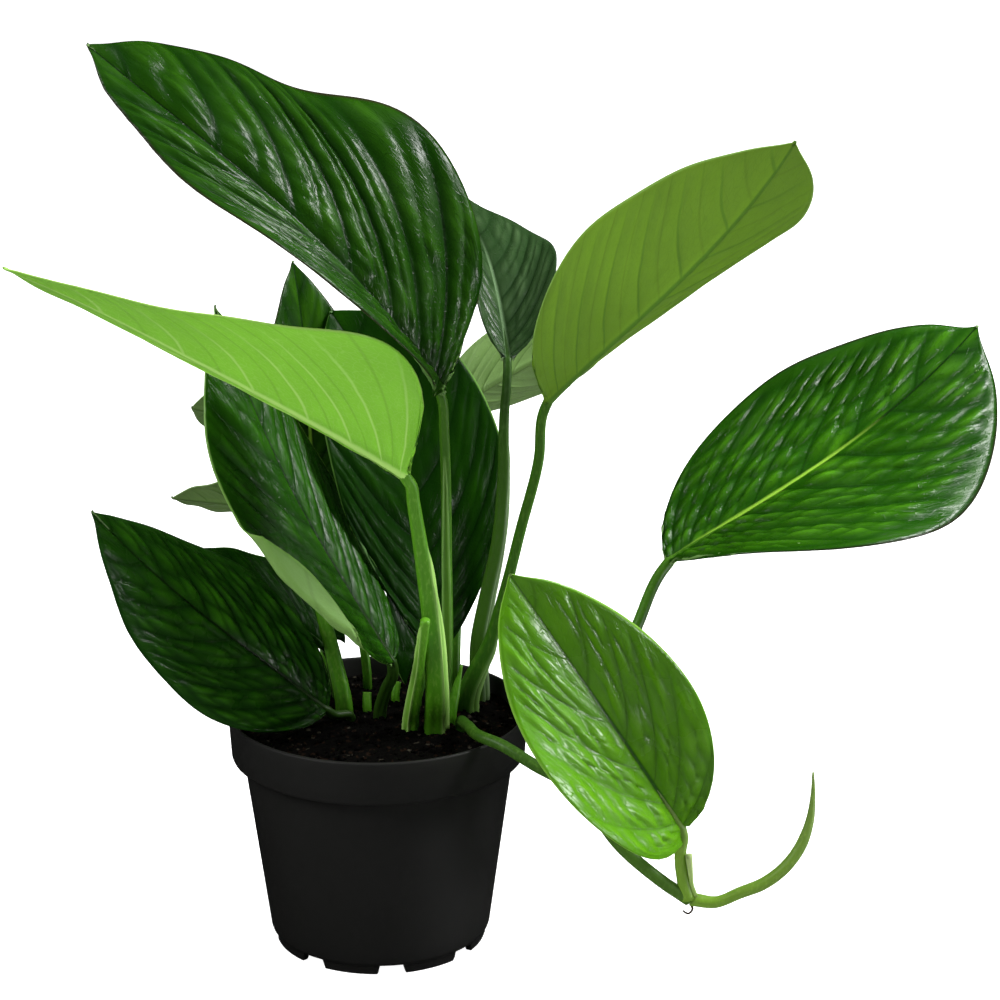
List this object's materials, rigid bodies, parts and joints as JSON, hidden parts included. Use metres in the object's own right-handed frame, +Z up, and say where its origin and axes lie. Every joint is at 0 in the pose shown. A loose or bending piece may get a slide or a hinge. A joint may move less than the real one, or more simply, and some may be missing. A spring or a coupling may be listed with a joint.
{
  "type": "potted monstera",
  "caption": "Potted foliage plant with entire quilted leaves on long stalks and a trailing runner, in a round nursery pot with soil.",
  "frame": {"origin": "centre of the whole plant's bounding box seen from above, on the surface the pot stands on", "axes": "+Z up, +X towards the runner's side, -Y towards the viewer of the picture"},
  "size_m": [0.3725, 0.2386, 0.3716],
  "materials": {
    "pot_plastic": "matte black moulded plastic",
    "soil": "dark damp potting mix",
    "leaf_dark": "waxy dark green leaf",
    "leaf_mid": "glossy mid green leaf",
    "leaf_bright": "glossy bright green leaf",
    "leaf_pale": "satin pale green leaf underside",
    "stalk": "satin green stalk",
    "stalk_pale": "satin pale green stalk and sheath",
    "root": "brown air root"
  },
  "bodies": {
    "root": {"pot": "pot_plastic", "soil": "soil", "blade_upper_left": "leaf_dark", "blade_left_pale": "leaf_pale", "blade_centre": "leaf_dark", "blade_centre_back": "leaf_dark", "blade_young_top": "leaf_mid", "blade_back": "leaf_dark", "blade_upper_right": "leaf_bright", "blade_back_pale": "leaf_pale", "blade_right": "leaf_mid", "blade_runner": "leaf_bright", "blade_lower_left": "leaf_dark", "blade_low_back": "leaf_dark", "blade_back_left": "leaf_pale", "blade_back_left_high": "leaf_pale", "stalk_upper_left": "stalk", "stalk_left_pale": "stalk_pale", "stalk_centre": "stalk", "stalk_centre_back": "stalk", "stalk_young_top": "stalk_pale", "stalk_back": "stalk", "stalk_upper_right": "stalk", "stalk_back_pale": "stalk", "stalk_lower_left": "stalk", "stalk_low_back": "stalk", "stalk_back_left": "stalk_pale", "stalk_back_left_high": "stalk_pale", "sheathed_stalk": "stalk_pale", "pointed_sheath": "stalk_pale", "cut_stub_left": "stalk_pale", "cut_stub_right": "stalk_pale", "runner": "stalk", "stalk_right": "stalk", "stalk_runner": "stalk_pale", "growing_shoot": "stalk_pale", "cut_sheath": "stalk_pale", "air_root": "root"}
  },
  "joints": []
}
